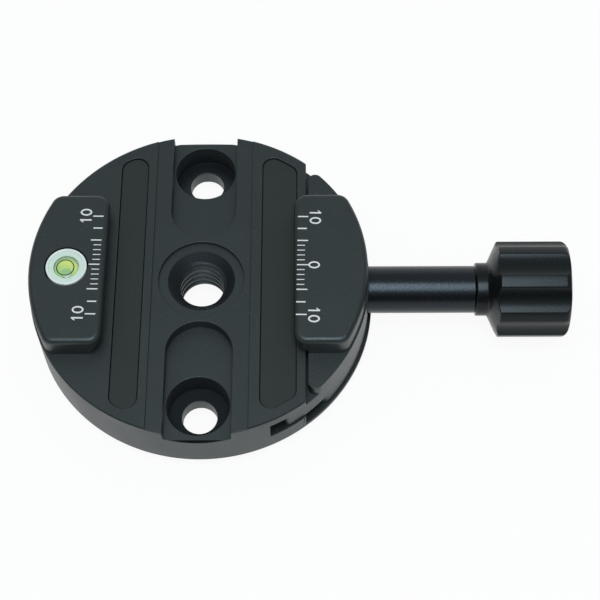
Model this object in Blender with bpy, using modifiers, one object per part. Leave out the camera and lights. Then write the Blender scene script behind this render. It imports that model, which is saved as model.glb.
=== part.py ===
"""Round quick-release clamp for a tripod head, with a dovetail mouth, one sliding jaw and a long knob.

The origin is on the disc's axis at its flat base. +Z is up, towards the camera plate, and +X runs
along the screw towards the knob. The jaw is nearly closed at rest.
"""
import math

import bmesh
import bpy
from mathutils import Matrix, Vector

MM = 0.001

# Middle band and the strips beside it, which set how wide the bed is
band_half_width = 8.9 * MM
band_depth = 0.35 * MM
left_land = 1.6 * MM
left_strip_width = 5.0 * MM
left_strip_corner = 2.2 * MM
right_land = 1.95 * MM
right_strip_width = 6.45 * MM
right_strip_corner = 2.0 * MM
strip_margin = 2.0 * MM
strip_depth = 1.0 * MM
strip_gap = 0.2 * MM
strip_below_bed = 0.25 * MM

# Disc, and the face and slot that take the moving jaw
joint_margin = 1.65 * MM
jaw_depth = 12.05 * MM
rim_chamfer = 0.25 * MM
disc_steps = 128
floor_thickness = 1.1 * MM
slot_depth = 6.25 * MM
slot_height = 4.4 * MM
slot_cover = 1.2 * MM

# Jaw blocks and their dovetail
jaw_overhang = 2.1 * MM
block_rise = 4.5 * MM
block_half_length = 15.2 * MM
block_inset = 0.3 * MM
block_corner = 2.2 * MM
block_fillet = 1.0 * MM
block_root = 0.6 * MM
dovetail_reach = 2.15 * MM
dovetail_land = 1.35 * MM

# Moving jaw
jaw_gap = 0.4 * MM
jaw_set_in = 0.6 * MM
slide_clearance = 0.3 * MM
root_step = 0.05 * MM
tongue_length = 4.45 * MM
tongue_corner = 0.9 * MM
shelf_corner = 1.3 * MM
foot_set_back = 1.15 * MM
foot_corner = 1.5 * MM

# Screw pockets and holes
screw_edge_distance = 6.9 * MM
screw_head_radius = 5.6 * MM
screw_hole_radius = 3.15 * MM
screw_seat_height = 3.0 * MM
pocket_side_gap = 0.35 * MM
pocket_depth = 2.75 * MM
pocket_wall = 0.85 * MM
lip_width = 0.4 * MM
lip_depth = 0.8 * MM
spot_face_radius = 7.75 * MM
spot_face_depth = 0.65 * MM
sink_width = 1.35 * MM
centre_hole_radius = 4.75 * MM
hole_chamfer = 0.4 * MM

# Round level in the fixed block
level_edge_distance = 7.15 * MM
level_radius = 3.73 * MM
level_fit = 0.22 * MM
level_height = 3.15 * MM
level_seat_gap = 0.3 * MM
level_proud = 0.05 * MM
level_chamfer = 0.15 * MM
vial_radius = 2.55 * MM
vial_gap = 0.25 * MM
vial_floor = 0.8 * MM
lens_thickness = 0.4 * MM

# Screw spindle, its washer and its bores
thread_radius = 2.5 * MM
running_clearance = 0.3 * MM
bore_wall = 1.45 * MM
bore_cover = 0.85 * MM
tip_gap = 0.8 * MM
tip_chamfer = 0.5 * MM
stem_length = 19.95 * MM
stem_chamfer = 0.2 * MM
stem_fit = 0.25 * MM
seat_wall = 0.2 * MM
counterbore_depth = 1.5 * MM
washer_width = 1.4 * MM
washer_thickness = 0.5 * MM
washer_gap = 0.2 * MM
spindle_steps = 40

# Knob and its grub screw
knob_seam = 0.35 * MM
neck_step = 0.55 * MM
neck_length = 1.8 * MM
neck_chamfer = 0.3 * MM
flare_length = 1.9 * MM
flare_blend = 0.45 * MM
head_step = 3.99 * MM
head_length = 12.7 * MM
head_fillet = 1.1 * MM
knob_end_wall = 4.65 * MM
flute_count = 8
flute_half_angle = math.radians(15.65)
flute_radius = 5.7 * MM
first_land = math.radians(19.0)
grub_radius = 1.5 * MM
grub_length = 3.6 * MM
grub_clearance = 0.25 * MM
grub_set_back = 2.25 * MM

# Guide pins and return springs
pin_inset = 1.2 * MM
pin_radius = 1.0 * MM
pin_socket_depth = 1.9 * MM
pin_reach = 7.1 * MM
pin_end_room = 2.6 * MM
pin_chamfer = 0.2 * MM
spring_bore_radius = 2.1 * MM
spring_bore_depth = 4.4 * MM
spring_radius = 1.55 * MM
spring_wire = 0.22 * MM
spring_turns = 5
spring_end_gap = 0.35 * MM

# How far a cutter runs past what it cuts, how near two points count as one, and the angles past
# which faces are no longer flat, are shaded with a crease, or meet in a block's rounded edge
overrun = 3.0 * MM
weld_distance = 0.0001 * MM
flat_angle = math.radians(0.4)
crease_angle = math.radians(30.0)
block_edge_angle = math.radians(60.0)

# Places across the mouth, from the middle outwards
left_strip_edge = band_half_width + left_land
right_strip_edge = band_half_width + right_land
joint_x = right_strip_edge + right_strip_width + joint_margin
disc_radius = joint_x + jaw_depth
mouth_half_width = joint_x - jaw_overhang
level_distance = disc_radius - level_edge_distance
screw_y = disc_radius - screw_edge_distance
pocket_half_width = screw_head_radius + pocket_side_gap
pocket_end = spot_face_radius + pocket_wall
sink_radius = centre_hole_radius + sink_width

# Heights, from the base upwards
thread_bore_radius = thread_radius + running_clearance
stem_radius = thread_bore_radius + washer_width
jaw_floor = floor_thickness + slide_clearance
spindle_height = jaw_floor + seat_wall + stem_radius + stem_fit
bed_height = spindle_height + thread_bore_radius + bore_cover + strip_depth
block_top = bed_height + block_rise
band_level = bed_height - band_depth
pocket_floor = bed_height - pocket_depth
slot_roof = bed_height - strip_depth - slot_cover
slot_floor = slot_roof - slot_height
tongue_bottom = slot_floor + slide_clearance
tongue_top = slot_roof - slide_clearance
pin_height = (slot_floor + slot_roof) / 2

# Places along the screw, from the centre hole to the knob's end
bore_end_x = centre_hole_radius + bore_wall
slot_end_x = joint_x - slot_depth
spring_seat_x = slot_end_x - spring_bore_depth
pin_start_x = spring_seat_x - pin_socket_depth
shelf_x = joint_x + jaw_gap
tongue_end_x = shelf_x - tongue_length
foot_x = shelf_x + foot_set_back
pin_y = block_half_length - pin_inset
pin_hole_depth = pin_reach + pin_end_room
jaw_face_x = disc_radius - jaw_set_in
washer_x = jaw_face_x - counterbore_depth + washer_gap
shoulder_x = washer_x + washer_thickness + washer_gap
stem_end_x = shoulder_x + stem_length
neck_radius = stem_radius + neck_step
head_radius = neck_radius + head_step
neck_x = stem_end_x + knob_seam
head_x = neck_x + neck_length + flare_length
knob_end_x = head_x + head_length
knob_bore_end_x = knob_end_x - knob_end_wall
tail_end_x = knob_bore_end_x - running_clearance
grub_x = tail_end_x - grub_set_back


def clear_scene():
    for old in list(bpy.data.objects):
        bpy.data.objects.remove(old, do_unlink=True)


def add_collection(name):
    collection = bpy.data.collections.new(name)
    bpy.context.scene.collection.children.link(collection)
    return collection


def add_material(name, colour, roughness, metallic, alpha=1.0):
    material = bpy.data.materials.new(name)
    material.use_nodes = True
    shader = material.node_tree.nodes["Principled BSDF"]
    shader.inputs["Base Color"].default_value = (*colour, 1.0)
    shader.inputs["Roughness"].default_value = roughness
    shader.inputs["Metallic"].default_value = metallic
    shader.inputs["Alpha"].default_value = alpha
    return material


# Turns a flat outline's own X and Y into Y and Z, so that its thickness lies along X
along_x = Matrix(((0, 0, 1, 0), (1, 0, 0, 0), (0, 1, 0, 0), (0, 0, 0, 1)))

clear_scene()
parts = add_collection("DiscClamp")
cutters = add_collection("Cutters")


def place(name, mesh, material=None):
    """Adds an object to the parts, or to the hidden cutters where it has no material."""
    piece = bpy.data.objects.new(name, mesh)
    if material:
        parts.objects.link(piece)
        mesh.materials.clear()
        mesh.materials.append(material)
    else:
        cutters.objects.link(piece)
        piece.hide_render = True
        piece.display_type = "WIRE"
    return piece


def merged(piece):
    """The object's shape as one plain mesh, its flat faces whole."""
    bpy.context.view_layer.update()
    evaluated = piece.evaluated_get(bpy.context.evaluated_depsgraph_get())
    mesh = bpy.data.meshes.new_from_object(evaluated)
    bm = bmesh.new()
    bm.from_mesh(mesh)
    bmesh.ops.dissolve_limit(bm, angle_limit=flat_angle, verts=bm.verts, edges=bm.edges)
    bm.to_mesh(mesh)
    bm.free()
    piece.modifiers.clear()
    piece.data = mesh
    return mesh


def lathe(name, profile, steps, material=None, closed=False):
    """Turns a profile of (radius, height) points about Z; it runs down the outer side."""
    mesh = bpy.data.meshes.new(name)
    points = [(radius, 0.0, height) for radius, height in profile]
    edges = [(i, i + 1) for i in range(len(points) - 1)]
    if closed:
        edges.append((len(points) - 1, 0))
    mesh.from_pydata(points, edges, [])
    piece = place(name, mesh, material)
    screw = piece.modifiers.new("Turn", "SCREW")
    screw.axis = "Z"
    screw.steps = steps
    screw.render_steps = steps
    screw.use_merge_vertices = True
    screw.merge_threshold = weld_distance
    merged(piece)
    return piece


def turned_x(name, profile, steps, material=None, closed=False):
    """Turns a profile of (radius, x) points, largest x first, about the screw's axis."""
    piece = lathe(name, profile, steps, material, closed)
    piece.rotation_euler = (0.0, math.pi / 2, 0.0)
    piece.location = (0.0, 0.0, spindle_height)
    return piece


def rod(name, radius, low, high, steps=32, material=None):
    profile = [(0.0, high), (radius, high), (radius, low), (0.0, low)]
    return lathe(name, profile, steps, material)


def rod_x(name, radius, low_x, high_x, steps=32):
    profile = [(0.0, high_x), (radius, high_x), (radius, low_x), (0.0, low_x)]
    return turned_x(name, profile, steps)


def box(name, low, high):
    """A box cutter between two corners."""
    bm = bmesh.new()
    bmesh.ops.create_cube(bm, size=1.0)
    size = Vector(high) - Vector(low)
    centre = (Vector(high) + Vector(low)) / 2
    bmesh.ops.scale(bm, vec=size, verts=bm.verts)
    bmesh.ops.translate(bm, vec=centre, verts=bm.verts)
    mesh = bpy.data.meshes.new(name)
    bm.to_mesh(mesh)
    bm.free()
    return place(name, mesh)


def prism(name, outline, low, high, material=None):
    """A flat outline with a thickness, made a mesh so that it can cut or be cut."""
    curve = bpy.data.curves.new(name, "CURVE")
    curve.dimensions = "2D"
    curve.fill_mode = "BOTH"
    curve.extrude = (high - low) / 2
    spline = curve.splines.new("POLY")
    spline.points.add(len(outline) - 1)
    for point, (x, y) in zip(spline.points, outline):
        point.co = (x, y, 0.0, 1.0)
    spline.use_cyclic_u = True
    guide = bpy.data.objects.new(name, curve)
    cutters.objects.link(guide)
    guide.location = (0.0, 0.0, (high + low) / 2)
    bpy.context.view_layer.update()
    evaluated = guide.evaluated_get(bpy.context.evaluated_depsgraph_get())
    mesh = bpy.data.meshes.new_from_object(evaluated)
    bm = bmesh.new()
    bm.from_mesh(mesh)
    bmesh.ops.remove_doubles(bm, verts=bm.verts, dist=weld_distance)
    bmesh.ops.transform(bm, matrix=guide.matrix_world, verts=bm.verts)
    bmesh.ops.recalc_face_normals(bm, faces=bm.faces)
    bm.to_mesh(mesh)
    bm.free()
    bpy.data.objects.remove(guide, do_unlink=True)
    return place(name, mesh, material)


def stepped_hole(name, wide_radius, narrow_radius, mouth_x, step_x, end_x, steps=32):
    """A cutter for a hole along X with a wider mouth, which opens towards +X."""
    profile = [
        (0.0, mouth_x),
        (wide_radius, mouth_x),
        (wide_radius, step_x),
        (narrow_radius, step_x),
        (narrow_radius, end_x),
        (0.0, end_x),
    ]
    return turned_x(name, profile, steps)


def combine(piece, other, operation="DIFFERENCE"):
    boolean = piece.modifiers.new(other.name, "BOOLEAN")
    boolean.operation = operation
    boolean.solver = "EXACT"
    boolean.object = other


def bake(piece):
    """Turns the modifiers into the mesh itself and shades its round faces smooth."""
    mesh = merged(piece)
    mesh.shade_smooth()
    mesh.set_sharp_from_angle(angle=crease_angle)


def arc(centre, radius, start, end, count):
    """Points on an arc, both ends included; the angles are in radians."""
    step = (end - start) / count
    angles = [start + step * i for i in range(count + 1)]
    return [(centre[0] + radius * math.cos(a), centre[1] + radius * math.sin(a)) for a in angles]


def mirrored(points, x_sign, y_sign):
    """The same points in mirror image, in an order that keeps the outline's direction."""
    flipped = [(x * x_sign, y * y_sign) for x, y in points]
    return flipped[::-1] if x_sign * y_sign < 0 else flipped


def block_outline(inner_x, centre_x):
    """A jaw block seen from above: a straight inner side, two square ends and a round back."""
    back_radius = disc_radius - block_inset
    end_y = block_half_length - block_corner
    back_x = centre_x + math.sqrt((back_radius - block_corner) ** 2 - end_y**2)
    back_angle = math.atan2(end_y, back_x - centre_x)
    back = arc((centre_x, 0.0), back_radius, 0.0, back_angle, 24)
    back_corner = arc((back_x, end_y), block_corner, back_angle, math.pi / 2, 6)
    inner_corner = arc((inner_x + block_corner, end_y), block_corner, math.pi / 2, math.pi, 8)
    half = back[:-1] + back_corner + inner_corner
    return half + mirrored(half[1:], 1, -1)


def strip_outline(inner_x, width, corner, gap):
    """A strip along Y whose ends follow the rim, with rounded corners."""
    end_radius = disc_radius - strip_margin - gap
    round_radius = corner - gap
    corners = []
    for x in (inner_x + width - gap - round_radius, inner_x + gap + round_radius):
        y = math.sqrt((end_radius - round_radius) ** 2 - x**2)
        corners.append((x, y, math.atan2(y, x)))
    (outer_x, outer_y, outer_angle), (near_x, near_y, near_angle) = corners
    half = arc((outer_x, outer_y), round_radius, 0.0, outer_angle, 8)
    half += arc((0.0, 0.0), end_radius, outer_angle, near_angle, 8)[1:-1]
    half += arc((near_x, near_y), round_radius, near_angle, math.pi, 8)
    return half + mirrored(half, 1, -1)


def relief_outline(edge_x, corner):
    """What a cutter takes off the round jaw blank to leave a straight edge with rounded corners."""
    y = math.sqrt((disc_radius - corner) ** 2 - (edge_x + corner + jaw_set_in) ** 2)
    angle = math.atan2(y, edge_x + corner + jaw_set_in)
    outer = disc_radius + overrun
    rim = (outer * math.cos(angle) - jaw_set_in, outer * math.sin(angle))
    half = [rim] + arc((edge_x + corner, y), corner, angle, math.pi, 8)
    far = [(-outer, -outer), (rim[0], -outer)]
    return half + mirrored(half, 1, -1) + far[::-1] + [(-outer, outer), (rim[0], outer)]


def jaw_block(name, root_x, centre_x, x_sign):
    """A clamping block with rounded top edges and its undercut, ready to join what carries it."""
    inner_x = mouth_half_width
    outline = block_outline(inner_x, centre_x)
    outline = outline if x_sign > 0 else mirrored(outline, -1, 1)
    block = prism(name, outline, bed_height - block_root, block_top)
    bm = bmesh.new()
    bm.from_mesh(block.data)
    top = bed_height + block_rise / 2
    edges = [
        edge for edge in bm.edges
        if min(vert.co.z for vert in edge.verts) > top
        and edge.calc_face_angle(0.0) > block_edge_angle
    ]
    bmesh.ops.bevel(
        bm, geom=edges, offset=block_fillet, segments=4, profile=0.5, affect="EDGES", clamp_overlap=True
    )
    bm.to_mesh(block.data)
    bm.free()
    shoulder = block_top - dovetail_land
    profile = [
        (root_x, bed_height - overrun),
        (root_x, shoulder - (root_x - inner_x)),
        (inner_x, shoulder),
        (inner_x - overrun, shoulder + overrun),
        (inner_x - overrun, bed_height - overrun),
    ]
    profile = [(x * x_sign, z) for x, z in profile]
    undercut = prism(name + "_undercut", profile, -disc_radius, disc_radius)
    undercut.rotation_euler = (math.pi / 2, 0.0, 0.0)
    combine(block, undercut)
    return block


def disc_profile(low, high, chamfer):
    return [
        (0.0, high),
        (disc_radius - chamfer, high),
        (disc_radius, high - chamfer),
        (disc_radius, low + chamfer),
        (disc_radius - chamfer, low),
        (0.0, low),
    ]


def cut_pocket(body, side):
    """A pocket with a round inner end, open at the rim, and the counterbored hole in its floor."""
    centre = (0.0, pocket_end + pocket_half_width)
    outline = [(pocket_half_width, disc_radius + overrun), (-pocket_half_width, disc_radius + overrun)]
    outline += arc(centre, pocket_half_width, math.pi, 2 * math.pi, 24)
    outline = mirrored(outline, 1, side)
    combine(body, prism("pocket", outline, pocket_floor, bed_height + overrun))
    profile = [
        (0.0, bed_height),
        (screw_head_radius, bed_height),
        (screw_head_radius, screw_seat_height),
        (screw_hole_radius, screw_seat_height),
        (screw_hole_radius, -overrun),
        (0.0, -overrun),
    ]
    hole = lathe("screw_hole", profile, 40)
    hole.location.y = screw_y * side
    combine(body, hole)
    lip_y = disc_radius - lip_width
    lip = [
        (lip_y, pocket_floor),
        (lip_y + overrun, pocket_floor - overrun * lip_depth / lip_width),
        (lip_y + overrun, pocket_floor + lip_width),
        (lip_y, pocket_floor + lip_width),
    ]
    wedge = prism("lip", mirrored(lip, side, 1), -pocket_half_width, pocket_half_width)
    wedge.matrix_world = along_x
    combine(body, wedge)


def cut_centre_hole(body):
    """The spot face, the countersink and the screw hole on the disc's axis."""
    seat = band_level - spot_face_depth
    sink_end = seat - (sink_radius - centre_hole_radius)
    profile = [
        (0.0, bed_height + overrun),
        (spot_face_radius, bed_height + overrun),
        (spot_face_radius, seat),
        (sink_radius, seat),
        (centre_hole_radius, sink_end),
        (centre_hole_radius, hole_chamfer),
        (centre_hole_radius + hole_chamfer + overrun, -overrun),
        (0.0, -overrun),
    ]
    combine(body, lathe("centre_hole", profile, 64))


def cut_strip_recesses(body):
    floor = bed_height - strip_depth
    right = strip_outline(right_strip_edge, right_strip_width, right_strip_corner, 0.0)
    left = strip_outline(left_strip_edge, left_strip_width, left_strip_corner, 0.0)
    combine(body, prism("right_recess", right, floor, bed_height + overrun))
    combine(body, prism("left_recess", mirrored(left, -1, 1), floor, bed_height + overrun))


def make_body(material):
    """The one-piece disc with the fixed jaw block, machined from solid."""
    body = lathe("clamp_body", disc_profile(0.0, bed_height, rim_chamfer), disc_steps, material)
    root_x = mouth_half_width + dovetail_reach
    combine(body, jaw_block("fixed_block", root_x, 0.0, -1), "UNION")
    reach = disc_radius + overrun
    band_low = (-band_half_width, -reach, band_level)
    combine(body, box("band", band_low, (band_half_width, reach, bed_height + overrun)))
    for side in (1, -1):
        cut_pocket(body, side)
    cut_centre_hole(body)
    cut_strip_recesses(body)
    top = block_top + overrun
    combine(body, box("jaw_room", (joint_x, -reach, floor_thickness), (reach, reach, top)))
    combine(body, box("slot", (slot_end_x, -reach, slot_floor), (joint_x + overrun, reach, slot_roof)))
    combine(body, rod_x("thread_bore", thread_bore_radius, bore_end_x, joint_x + overrun))
    socket_radius = pin_radius + running_clearance
    for side in (1, -1):
        places = (slot_end_x + overrun, spring_seat_x, pin_start_x)
        bore = stepped_hole("spring_bore", spring_bore_radius, socket_radius, *places)
        bore.location = (0.0, pin_y * side, pin_height)
        combine(body, bore)
    level_floor = block_top + level_proud - level_height - level_seat_gap
    seat = rod("level_seat", level_radius + level_fit, level_floor, top, 48)
    seat.location.x = -level_distance
    combine(body, seat)
    bake(body)


def make_jaw(material):
    """The sliding jaw: a shelf flush with the bed, a tongue in the slot, a foot and the block."""
    blank = lathe("moving_jaw", disc_profile(jaw_floor, bed_height, rim_chamfer), disc_steps, material)
    blank.location.x = -jaw_set_in
    tongue_relief = relief_outline(tongue_end_x, tongue_corner)
    shelf_relief = relief_outline(shelf_x, shelf_corner)
    foot_relief = relief_outline(foot_x, foot_corner)
    combine(blank, prism("tongue_relief", tongue_relief, -overrun, block_top + overrun))
    combine(blank, prism("shelf_relief", shelf_relief, tongue_top, block_top + overrun))
    combine(blank, prism("foot_relief", foot_relief, -overrun, tongue_bottom))
    combine(blank, jaw_block("moving_block", shelf_x + root_step, -jaw_set_in, 1), "UNION")
    places = (jaw_face_x + overrun, jaw_face_x - counterbore_depth, 0.0)
    wide_radius = stem_radius + stem_fit
    hole = stepped_hole("spindle_hole", wide_radius, thread_bore_radius, *places, spindle_steps)
    combine(blank, hole)
    hole_radius = pin_radius + running_clearance
    for side in (1, -1):
        hole = rod_x("pin_hole", hole_radius, 0.0, tongue_end_x + pin_hole_depth, 24)
        hole.location = (0.0, pin_y * side, pin_height)
        combine(blank, hole)
    bake(blank)


def make_strips(material):
    """The rubber strips that lie in the bed's recesses."""
    low = bed_height - strip_depth + strip_gap
    high = bed_height - strip_below_bed
    right = strip_outline(right_strip_edge, right_strip_width, right_strip_corner, strip_gap)
    left = strip_outline(left_strip_edge, left_strip_width, left_strip_corner, strip_gap)
    prism("rubber_strip_right", right, low, high, material)
    prism("rubber_strip_left", mirrored(left, -1, 1), low, high, material)


def make_level(cup_material, fluid_material, lens_material):
    """The round level: a cup with a flange, the liquid in it and the clear lens over that."""
    top = block_top + level_proud
    low = top - level_height
    well = low + vial_floor
    profile = [
        (0.0, well),
        (vial_radius, well),
        (vial_radius, top),
        (level_radius - level_chamfer, top),
        (level_radius, top - level_chamfer),
        (level_radius, low),
        (0.0, low),
    ]
    cup = lathe("level_cup", profile, 40, cup_material)
    glass_radius = vial_radius - vial_gap
    lens_low = top - lens_thickness
    lens = rod("level_lens", glass_radius, lens_low, top, 40, lens_material)
    fluid = rod("level_fluid", glass_radius, well + vial_gap, lens_low - vial_gap, 40, fluid_material)
    for piece in (cup, lens, fluid):
        piece.location.x = -level_distance
        bake(piece)


def make_spindle(material):
    """The screw spindle: a threaded end, a thick stem outside the jaw and a tail for the knob."""
    tip_x = bore_end_x + tip_gap
    profile = [
        (0.0, tail_end_x),
        (thread_radius - stem_chamfer, tail_end_x),
        (thread_radius, tail_end_x - stem_chamfer),
        (thread_radius, stem_end_x),
        (stem_radius - stem_chamfer, stem_end_x),
        (stem_radius, stem_end_x - stem_chamfer),
        (stem_radius, shoulder_x + stem_chamfer),
        (stem_radius - stem_chamfer, shoulder_x),
        (thread_radius, shoulder_x),
        (thread_radius, tip_x + tip_chamfer),
        (thread_radius - tip_chamfer, tip_x),
        (0.0, tip_x),
    ]
    bake(turned_x("spindle", profile, spindle_steps, material))


def make_washer(material):
    """The thrust washer between the spindle's shoulder and the jaw."""
    inner = thread_bore_radius
    outer = stem_radius
    profile = [
        (inner, washer_x + washer_thickness),
        (outer, washer_x + washer_thickness),
        (outer, washer_x),
        (inner, washer_x),
    ]
    bake(turned_x("thrust_washer", profile, spindle_steps, material, closed=True))


def flute_outline():
    """The knob's head in section: narrow lands with a hollow flute between each two."""
    pitch = 2 * math.pi / flute_count
    edge_radius = head_radius * math.cos(flute_half_angle)
    half_chord = head_radius * math.sin(flute_half_angle)
    hollow = math.asin(half_chord / flute_radius)
    cutter_distance = edge_radius + flute_radius * math.cos(hollow)
    points = []
    for index in range(flute_count):
        land = first_land + index * pitch
        land_half = pitch / 2 - flute_half_angle
        points += arc((0.0, 0.0), head_radius, land - land_half, land + land_half, 3)
        middle = land + pitch / 2
        centre = (cutter_distance * math.cos(middle), cutter_distance * math.sin(middle))
        inward = middle + math.pi
        points += arc(centre, flute_radius, inward + hollow, inward - hollow, 8)[1:-1]
    return points


def make_knob(material):
    """The fluted knob: a turned shape crossed with a fluted bar, bored for the spindle's tail."""
    cone_x = neck_x + neck_length
    fillet_centre = (head_radius - head_fillet, knob_end_x - head_fillet)
    profile = [(0.0, knob_end_x)]
    profile += arc(fillet_centre, head_fillet, math.pi / 2, 0.0, 6)
    profile += [
        (head_radius, head_x),
        (neck_radius + flare_blend, cone_x + flare_blend / 2),
        (neck_radius, cone_x),
        (neck_radius, neck_x + neck_chamfer),
        (neck_radius - neck_chamfer, neck_x),
        (0.0, neck_x),
    ]
    knob = turned_x("knob", profile, 64, material)
    bar = prism("flutes", flute_outline(), neck_x - overrun, knob_end_x + overrun)
    bar.matrix_world = Matrix.Translation((0.0, 0.0, spindle_height)) @ along_x
    combine(knob, bar, "INTERSECT")
    combine(knob, rod_x("knob_bore", thread_bore_radius, neck_x - overrun, knob_bore_end_x))
    hole = rod("grub_hole", grub_radius + grub_clearance, -head_radius - overrun, 0.0, 24)
    hole.location = (grub_x, 0.0, spindle_height)
    combine(knob, hole)
    bake(knob)


def make_grub_screw(material):
    """The set screw that locks the knob to the spindle's tail, sunk in the flute underneath."""
    high = -thread_radius - running_clearance
    profile = [
        (0.0, high),
        (grub_radius / 2, high),
        (grub_radius, high - grub_radius / 2),
        (grub_radius, high - grub_length),
        (0.0, high - grub_length),
    ]
    grub = lathe("knob_grub_screw", profile, 24, material)
    socket_low = high - grub_length - overrun
    socket = rod("grub_socket", grub_radius / 2, socket_low, high - grub_length / 2, 6)
    for piece in (grub, socket):
        piece.location = (grub_x, 0.0, spindle_height)
    socket.rotation_euler.z = math.pi / 24
    combine(grub, socket)
    bake(grub)


def make_pins_and_springs(material):
    """Two guide pins held in the body and the springs on them that push the jaw open."""
    for name, side in (("front", -1), ("back", 1)):
        low = pin_start_x + running_clearance
        high = tongue_end_x + pin_reach
        profile = [
            (0.0, high),
            (pin_radius - pin_chamfer, high),
            (pin_radius, high - pin_chamfer),
            (pin_radius, low + pin_chamfer),
            (pin_radius - pin_chamfer, low),
            (0.0, low),
        ]
        pin = turned_x("guide_pin_" + name, profile, 24, material)
        pin.location = (0.0, pin_y * side, pin_height)
        bake(pin)
        make_spring("return_spring_" + name, pin_y * side, material)


def make_spring(name, y, material):
    """A coil along X between the end of its bore and the tongue."""
    low = spring_seat_x + spring_end_gap + spring_wire
    high = tongue_end_x - spring_end_gap - spring_wire
    points_per_turn = 9
    count = spring_turns * points_per_turn
    curve = bpy.data.curves.new(name, "CURVE")
    curve.dimensions = "3D"
    curve.bevel_depth = spring_wire
    curve.bevel_resolution = 1
    curve.use_fill_caps = True
    spline = curve.splines.new("POLY")
    spline.points.add(count)
    for i, point in enumerate(spline.points):
        turn = 2 * math.pi * i / points_per_turn
        x = low + (high - low) * i / count
        point.co = (x, spring_radius * math.cos(turn), spring_radius * math.sin(turn), 1.0)
    guide = bpy.data.objects.new(name, curve)
    cutters.objects.link(guide)
    bpy.context.view_layer.update()
    evaluated = guide.evaluated_get(bpy.context.evaluated_depsgraph_get())
    mesh = bpy.data.meshes.new_from_object(evaluated)
    bpy.data.objects.remove(guide, do_unlink=True)
    bm = bmesh.new()
    bm.from_mesh(mesh)
    bmesh.ops.remove_doubles(bm, verts=bm.verts, dist=weld_distance)
    bmesh.ops.recalc_face_normals(bm, faces=bm.faces)
    bm.to_mesh(mesh)
    bm.free()
    mesh.shade_smooth()
    spring = place(name, mesh, material)
    spring.location = (0.0, y, pin_height)
    gap = (high - low) / spring_turns - 2 * spring_wire
    print(name, "least gap between its turns", round(gap / MM, 3), "mm")


def main():
    anodised = add_material("black_anodised", (0.018, 0.020, 0.021), 0.45, 0.6)
    gloss = add_material("gloss_black", (0.008, 0.008, 0.010), 0.18, 0.7)
    rubber = add_material("black_rubber", (0.020, 0.022, 0.020), 0.85, 0.0)
    steel = add_material("steel", (0.55, 0.55, 0.56), 0.25, 1.0)
    brass = add_material("brass", (0.78, 0.57, 0.25), 0.3, 1.0)
    mint = add_material("mint_acrylic", (0.72, 0.90, 0.80), 0.25, 0.0)
    yellow_green = add_material("level_liquid", (0.62, 0.90, 0.18), 0.1, 0.0)
    clear = add_material("clear_acrylic", (0.95, 0.98, 0.95), 0.05, 0.0, 0.35)
    make_body(anodised)
    make_jaw(anodised)
    make_strips(rubber)
    make_level(mint, yellow_green, clear)
    make_spindle(gloss)
    make_washer(brass)
    make_knob(anodised)
    make_grub_screw(steel)
    make_pins_and_springs(steel)


main()
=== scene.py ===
"""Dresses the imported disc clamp: machined black metal, engraved scales, a round level and a fluted knob."""
import math

import bpy
from mathutils import Matrix, Vector


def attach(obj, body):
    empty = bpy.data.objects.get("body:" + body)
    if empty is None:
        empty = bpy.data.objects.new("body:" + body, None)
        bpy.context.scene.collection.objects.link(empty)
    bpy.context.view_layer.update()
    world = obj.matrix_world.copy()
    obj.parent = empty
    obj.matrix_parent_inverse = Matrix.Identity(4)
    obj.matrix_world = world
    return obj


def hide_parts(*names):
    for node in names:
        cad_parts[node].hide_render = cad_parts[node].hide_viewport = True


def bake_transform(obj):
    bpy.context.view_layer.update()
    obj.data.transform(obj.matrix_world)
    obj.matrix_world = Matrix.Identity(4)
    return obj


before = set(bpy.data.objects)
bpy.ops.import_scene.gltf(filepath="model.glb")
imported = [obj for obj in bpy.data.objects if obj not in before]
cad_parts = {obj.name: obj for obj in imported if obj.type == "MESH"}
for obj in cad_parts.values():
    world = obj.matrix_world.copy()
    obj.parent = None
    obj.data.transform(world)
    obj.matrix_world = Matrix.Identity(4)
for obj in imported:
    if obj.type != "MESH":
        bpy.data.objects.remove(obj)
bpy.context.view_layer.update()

MM = 0.001

# Disc, band and pockets
disc_radius = 31.0 * MM
bed_height = 10.7 * MM
rim_chamfer = 0.25 * MM
band_half_width = 8.9 * MM
band_level = 10.35 * MM
pocket_half_width = 5.95 * MM
pocket_end = 8.6 * MM
pocket_floor = 7.95 * MM
lip_width = 0.4 * MM
lip_depth = 0.42 * MM
screw_y = 24.1 * MM
screw_head_radius = 5.6 * MM
screw_hole_radius = 3.15 * MM
screw_seat_height = 3.0 * MM

# Centre hole and its 3/8 inch thread
spot_face_radius = 7.75 * MM
spot_face_level = 9.7 * MM
sink_radius = 6.1 * MM
tripod_minor_radius = 4.0 * MM
tripod_major_radius = 4.76 * MM
tripod_pitch = 1.5875 * MM
hole_chamfer = 0.4 * MM

# The tools that cut the threads: how far they start in clear air, and their widths at the inner
# and at the outer radius
cutter_start = 0.2 * MM
tap_widths = (1.35 * MM, 0.2 * MM)
die_widths = (0.12 * MM, 0.85 * MM)

# Strips and their recesses
recess_floor = 9.7 * MM
left_strip = (10.5 * MM, 5.0 * MM, 2.2 * MM)
right_strip = (10.85 * MM, 6.45 * MM, 2.0 * MM)
strip_rim = 29.0 * MM
strip_fit = 0.08 * MM
strip_low = 9.75 * MM
strip_high = 10.45 * MM

# Face and slot for the moving jaw
joint_x = 18.95 * MM
floor_thickness = 1.1 * MM
slot_end_x = 12.7 * MM
slot_floor = 4.1 * MM
slot_roof = 8.5 * MM
pin_y = 14.0 * MM
pin_height = 6.3 * MM
pin_socket_radius = 1.3 * MM
pin_start_x = 6.4 * MM
spring_bore_radius = 2.1 * MM
spring_seat_x = 8.3 * MM
coil_radius = 1.55 * MM
coil_turns = 5
coil_room = 0.35 * MM
wire_radius = 0.22 * MM

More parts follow.
